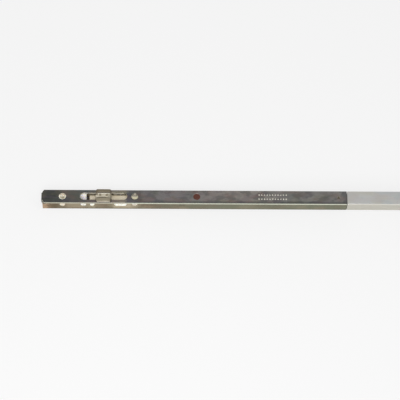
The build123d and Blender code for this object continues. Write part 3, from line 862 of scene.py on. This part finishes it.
def makeCaseHalf(name, side):
    # a half of the gear case, side -1 in front and 1 behind
    look = caseWorkLook
    piece = link(bpy.data.objects.new(name + "Fine", wholeFaces(name)))
    low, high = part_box(name)
    wall = (high[1] if side > 0 else -low[1]) / mm - look["bossHeight"]
    spots = [(x, 0, z) for x, z in look["pins"]]
    radius, bottom, top = look["pinRadius"], -look["pinDepth"], look["pinOver"]
    outline = [(0, bottom), (radius, bottom), (radius, top), (0, top)]
    profile = [(reach, side * height) for reach, height in outline]
    cutters = [turnedBodies("pin", spots, "Y", side * wall, profile, steps=32)]
    for x in (-look["tenonPlace"], look["tenonPlace"]):
        cutters.append(chiselMark(x, side * look["tenonAcross"], high[2] / mm))
    cutAway(piece, cutters)
    for face in piece.data.polygons:
        face.use_smooth = True
    roundEdges(piece, look["edge"])
    standFor(piece, name)


makeCaseHalf("gearcase_front", -1)
makeCaseHalf("gearcase_back", 1)
print("gear case halves: 2")


# Floor and light: a pale table in a white studio. For the eye and for metals the studio is
# white near the horizon and dimmer overhead
studioLook = {
    "floorColour": "#f5f5f5",
    "backgroundColour": "#f8f8f8",
    "overheadColour": "#b4b4b4",
    "overheadRise": (0.2, 0.75),    # sines of the angles where it starts to dim and is dimmest
    "floorGlow": 0.82,              # share of white that the eye sees, over the floor's shading
    "floorRoughness": 0.9,
    "floorSpecular": 0.2,
    "floorReach": 6.0,              # metres
    "skyStrength": 0.52,
}


def seenByEye(tree):
    # 1 for rays from the eye, from a mirror or through glass
    path = addNode(tree, "ShaderNodeLightPath")
    links = {0: path.outputs["Is Camera Ray"], 1: path.outputs["Is Glossy Ray"]}
    either = addNode(tree, "ShaderNodeMath", {"operation": "MAXIMUM"}, links).outputs[0]
    links = {0: either, 1: path.outputs["Is Transmission Ray"]}
    return addNode(tree, "ShaderNodeMath", {"operation": "MAXIMUM"}, links).outputs[0]


def restingSlope():
    # the lock lies on its left end's lower edge and on the gear case's bottom, so the floor runs
    # from the lowest point of that end to the first point that it meets beyond it
    endLength, clearOfEnd = 3 * mm, 10 * mm
    points = [vertex.co for node in nodes.values() for vertex in node.data.vertices]
    leftEnd = min(point.x for point in points) + endLength
    low = min((point for point in points if point.x < leftEnd), key=lambda point: point.z)
    beyond = [point for point in points if point.x > low.x + clearOfEnd]
    slope = min((point.z - low.z) / (point.x - low.x) for point in beyond)
    return low, slope


def makeFloor():
    # white paper that the lock lies on; at a strength of 1 its glow is just white
    low, slope = restingSlope()
    reach = studioLook["floorReach"]
    corners = [(-reach, -reach), (reach, -reach), (reach, reach), (-reach, reach)]
    places = [(x, y, low.z + slope * (x - low.x)) for x, y in corners]
    mesh = bpy.data.meshes.new("floor")
    mesh.from_pydata(places, [], [(0, 1, 2, 3)])
    floor = link(bpy.data.objects.new("floor", mesh))
    material = bpy.data.materials.new("whitePaper")
    material.use_nodes = True
    tree = material.node_tree
    paper = tree.nodes["Principled BSDF"]
    paper.inputs["Base Color"].default_value = linearColour(studioLook["floorColour"])
    paper.inputs["Roughness"].default_value = studioLook["floorRoughness"]
    paper.inputs["Specular IOR Level"].default_value = studioLook["floorSpecular"]
    white = linearColour(studioLook["backgroundColour"])
    glow = addNode(tree, "ShaderNodeEmission", {"Color": white, "Strength": 1.0})
    settings = {"operation": "MULTIPLY", 1: studioLook["floorGlow"]}
    share = addNode(tree, "ShaderNodeMath", settings, {0: seenByEye(tree)})
    links = {0: share.outputs[0], 1: paper.outputs[0], 2: glow.outputs[0]}
    mix = addNode(tree, "ShaderNodeMixShader", links=links)
    tree.links.new(mix.outputs[0], tree.nodes["Material Output"].inputs["Surface"])
    floor.data.materials.append(material)


def makeSky():
    # the light of the studio's walls, which to the eye are as white as the floor
    world = bpy.data.worlds.new("whiteStudio")
    world.use_nodes = True
    tree = world.node_tree
    tree.nodes.clear()
    settings = {"Color": linearColour(studioLook["backgroundColour"])}
    lit = addNode(tree, "ShaderNodeBackground", {**settings, "Strength": studioLook["skyStrength"]})
    direction = addNode(tree, "ShaderNodeTexCoord").outputs["Generated"]
    upward = addNode(tree, "ShaderNodeSeparateXYZ", links={0: direction}).outputs["Z"]
    overhead = maskWhere(tree, (upward, *studioLook["overheadRise"]))
    level, above = studioLook["backgroundColour"], studioLook["overheadColour"]
    shade = tintOver(tree, level, above, overhead, strength=1.0)
    seen = addNode(tree, "ShaderNodeBackground", {"Strength": 1.0}, {"Color": shade})
    links = {0: seenByEye(tree), 1: lit.outputs[0], 2: seen.outputs[0]}
    mix = addNode(tree, "ShaderNodeMixShader", links=links)
    addNode(tree, "ShaderNodeOutputWorld", links={"Surface": mix.outputs[0]})
    bpy.context.scene.world = world


# Soft lamps: place and size in metres and power in watts, aimed at the photographed stretch
lampsLook = {
    "frontSoftbox": {"place": (-0.40, -0.60, 0.68), "size": 0.45, "watts": 4.6},
    "rightFill": {"place": (0.35, -0.35, 0.55), "size": 0.6, "watts": 0.9},
    "backSoftbox": {"place": (-0.30, 0.70, 0.55), "size": 0.7, "watts": 0.6},
}

# Camera: elevation, turn and tilt in degrees, lens and sensor in millimetres, the rest in metres.
# It stands far off with a long lens, as the photograph shows hardly any perspective
cameraLook = {
    "target": (-0.26343, -0.0041, 0.0155),
    "distance": 2.4,
    "elevation": 60.0,
    "turn": 1.6,
    "tilt": 1.69,
    "lens": 195.5,
    "sensor": 36.0,
    "nearest": 0.01,
    "farthest": 50.0,
}


def aim(direction):
    # a lamp and a camera look along their own -Z, with Y up
    return direction.to_track_quat("-Z", "Y")


def makeLamps():
    target = Vector(cameraLook["target"])
    for name, look in lampsLook.items():
        lamp = bpy.data.lights.new(name, "AREA")
        lamp.shape = "SQUARE"
        lamp.size = look["size"]
        lamp.energy = look["watts"]
        holder = link(bpy.data.objects.new(name, lamp))
        holder.location = look["place"]
        holder.rotation_mode = "QUATERNION"
        holder.rotation_quaternion = aim(target - Vector(look["place"]))


def makeCamera():
    camera = bpy.data.cameras.new("camera")
    camera.lens = cameraLook["lens"]
    camera.sensor_width = cameraLook["sensor"]
    camera.clip_start = cameraLook["nearest"]
    camera.clip_end = cameraLook["farthest"]
    holder = link(bpy.data.objects.new("camera", camera))
    rise = math.radians(cameraLook["elevation"])
    turn = math.radians(cameraLook["turn"])
    across = math.cos(rise)
    forward = Vector((math.sin(turn) * across, math.cos(turn) * across, -math.sin(rise)))
    holder.location = Vector(cameraLook["target"]) - forward * cameraLook["distance"]
    holder.rotation_mode = "QUATERNION"
    tilt = Quaternion((0, 0, 1), math.radians(cameraLook["tilt"]))
    holder.rotation_quaternion = aim(forward) @ tilt
    bpy.context.scene.camera = holder


makeFloor()
makeSky()
makeLamps()
makeCamera()
bpy.context.scene.view_settings.view_transform = "Standard"
print("studio: floor, sky, lamps and camera")
